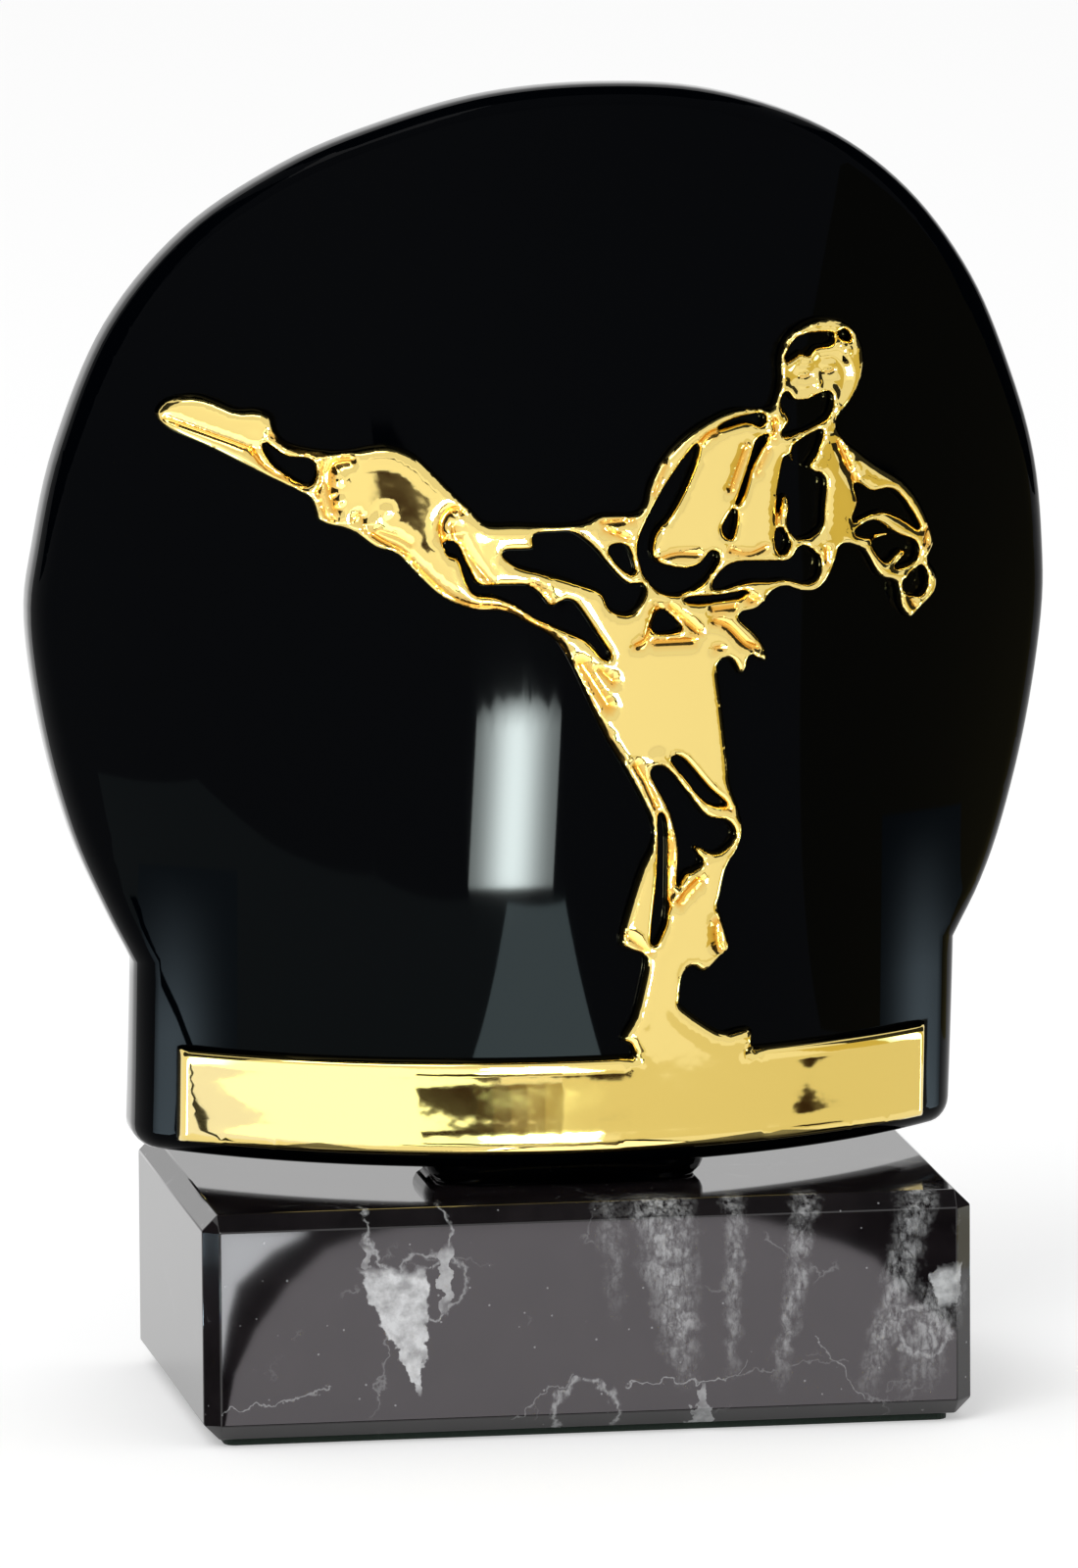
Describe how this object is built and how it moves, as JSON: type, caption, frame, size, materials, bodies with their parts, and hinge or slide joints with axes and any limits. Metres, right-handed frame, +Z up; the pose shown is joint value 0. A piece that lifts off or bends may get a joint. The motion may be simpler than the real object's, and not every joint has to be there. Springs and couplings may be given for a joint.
{
  "type": "martial arts trophy",
  "caption": "Desk trophy: gold side-kicking figure and ground band on a bowed black shield, screwed to a chamfered marble block.",
  "frame": {"origin": "centre of the felt underside, which is the bottom centre of the whole trophy's box", "axes": "+Z up, -Y towards the front with the gold figure, +X to the right as seen from the front"},
  "size_m": [0.1362, 0.065, 0.177],
  "materials": {
    "marble": "polished dark marble with white veins",
    "black_lacquer": "high gloss black, moulded, with soft rounded edges",
    "gold_plate": "polished gold plate over a cast relief",
    "zinc_steel": "zinc plated screws and washers",
    "turned_brass": "knurled brass inserts",
    "felt": "pressed wool felt"
  },
  "bodies": {
    "root": {"marble_base": "marble", "back_shield": "black_lacquer", "gold_relief": "gold_plate", "mounting_screws": "zinc_steel", "washers": "zinc_steel", "threaded_inserts": "turned_brass", "felt_sheet": "felt"}
  },
  "joints": []
}
